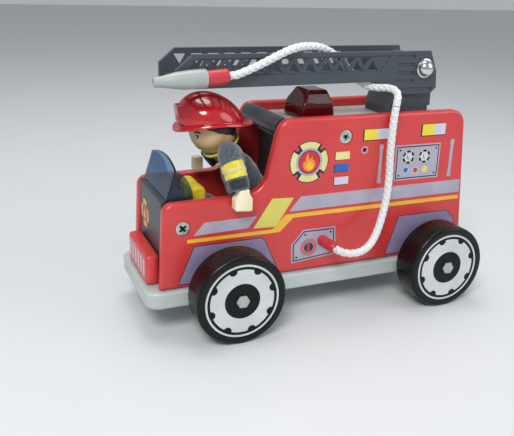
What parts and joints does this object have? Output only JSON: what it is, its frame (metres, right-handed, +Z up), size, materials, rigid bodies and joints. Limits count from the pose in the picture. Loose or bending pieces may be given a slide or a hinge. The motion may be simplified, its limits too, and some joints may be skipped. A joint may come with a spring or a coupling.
{
  "type": "toy fire engine",
  "caption": "Wooden toy fire engine with rolling wheels, a swinging and tilting ladder, a rope hose with plug and nozzle, and a seated firefighter figure.",
  "frame": {"origin": "on the ground, under the middle of the vehicle's footprint without its rope hose", "axes": "+X towards the front of the vehicle, +Y its left side, +Z up"},
  "size_m": [0.2264, 0.1206, 0.1712],
  "materials": {
    "red_painted_wood": "satin red paint on wood board",
    "dark_grey_painted_wood": "satin dark grey paint on wood",
    "pale_grey_painted_wood": "satin pale grey paint on wood",
    "beech_wood": "clear lacquer",
    "cream_wood": "clear lacquer",
    "black_tyre": "gloss",
    "pale_grey_plastic": "satin",
    "dark_grey_plastic": "satin moulded",
    "red_gloss_plastic": "gloss moulded",
    "red_satin_plastic": "satin moulded",
    "clear_blue_plastic": "clear tinted",
    "clear_red_plastic": "clear tinted",
    "steel": "satin",
    "chrome": "polished",
    "charcoal_felt": "felt",
    "yellow_felt": "felt",
    "yellow_painted_wood": "satin paint",
    "braided_cotton": "braided rope"
  },
  "bodies": {
    "root": {"base_plate": "pale_grey_painted_wood", "left_side_panel": "red_painted_wood", "right_side_panel": "red_painted_wood", "bumper": "red_painted_wood", "rear_panel": "red_painted_wood", "hood_block": "dark_grey_painted_wood", "cab_seat": "dark_grey_painted_wood", "cab_back_wall": "dark_grey_painted_wood", "roof_bar": "dark_grey_painted_wood", "roof_deck": "pale_grey_painted_wood", "windscreen": "clear_blue_plastic", "beacon_lens": "clear_red_plastic", "front_axle_block": "beech_wood", "rear_axle_block": "beech_wood", "left_front_panel_screw": "steel", "left_front_base_screw": "steel", "left_rear_panel_screw": "steel", "left_rear_base_screw": "steel", "right_front_panel_screw": "steel", "right_front_base_screw": "steel", "right_rear_panel_screw": "steel", "right_rear_base_screw": "steel", "hose_plug": "red_satin_plastic", "hose_lower": "braided_cotton", "figure_torso": "charcoal_felt", "figure_left_leg": "charcoal_felt", "figure_right_leg": "charcoal_felt", "figure_collar": "yellow_felt", "figure_left_boot": "yellow_painted_wood", "figure_right_boot": "yellow_painted_wood"},
    "front_wheels": {"front_axle": "steel", "front_left_wheel": "black_tyre", "front_left_hub_nut": "pale_grey_plastic", "front_right_wheel": "black_tyre", "front_right_hub_nut": "pale_grey_plastic"},
    "rear_wheels": {"rear_axle": "steel", "rear_left_wheel": "black_tyre", "rear_left_hub_nut": "pale_grey_plastic", "rear_right_wheel": "black_tyre", "rear_right_hub_nut": "pale_grey_plastic"},
    "turntable": {"turntable_yoke": "dark_grey_plastic", "turntable_washer": "steel", "turntable_screw": "steel"},
    "ladder": {"ladder_boom": "dark_grey_plastic", "ladder_pivot_bolt": "steel", "left_cap_nut": "chrome", "right_cap_nut": "chrome", "hose_upper": "braided_cotton", "nozzle_collar": "red_satin_plastic", "nozzle": "pale_grey_plastic"},
    "figure_head": {"figure_head": "beech_wood", "figure_helmet": "red_gloss_plastic"},
    "figure_left_arm": {"figure_left_sleeve": "charcoal_felt", "figure_left_hand": "cream_wood"},
    "figure_right_arm": {"figure_right_sleeve": "charcoal_felt", "figure_right_hand": "cream_wood"}
  },
  "joints": [
    {"name": "front_wheels_roll", "type": "hinge", "parent": "root", "child": "front_wheels", "pos_m": [0.062, 0, 0.028], "axis": [0, 1, 0], "continuous": true},
    {"name": "rear_wheels_roll", "type": "hinge", "parent": "root", "child": "rear_wheels", "pos_m": [-0.084, 0, 0.028], "axis": [0, 1, 0], "continuous": true},
    {"name": "turntable_swing", "type": "hinge", "parent": "root", "child": "turntable", "pos_m": [-0.066, 0, 0.1225], "axis": [0, 0, 1], "range_deg": [-60, 60], "deforming": ["hose_lower"]},
    {"name": "ladder_raise", "type": "hinge", "parent": "turntable", "child": "ladder", "pos_m": [-0.0775, 0, 0.1545], "axis": [0, -1, 0], "range_deg": [0, 60], "deforming": ["hose_upper"]},
    {"name": "figure_head_turn", "type": "hinge", "parent": "root", "child": "figure_head", "pos_m": [0.0624, 0.003, 0.103], "axis": [0, 0, 1], "range_deg": [-45, 45]},
    {"name": "figure_left_shoulder", "type": "hinge", "parent": "root", "child": "figure_left_arm", "pos_m": [0.0597, 0.024, 0.1105], "axis": [0, -1, 0], "range_deg": [0, 75]},
    {"name": "figure_right_shoulder", "type": "hinge", "parent": "root", "child": "figure_right_arm", "pos_m": [0.046, -0.0175, 0.101], "axis": [0, -1, 0], "range_deg": [0, 60]}
  ]
}
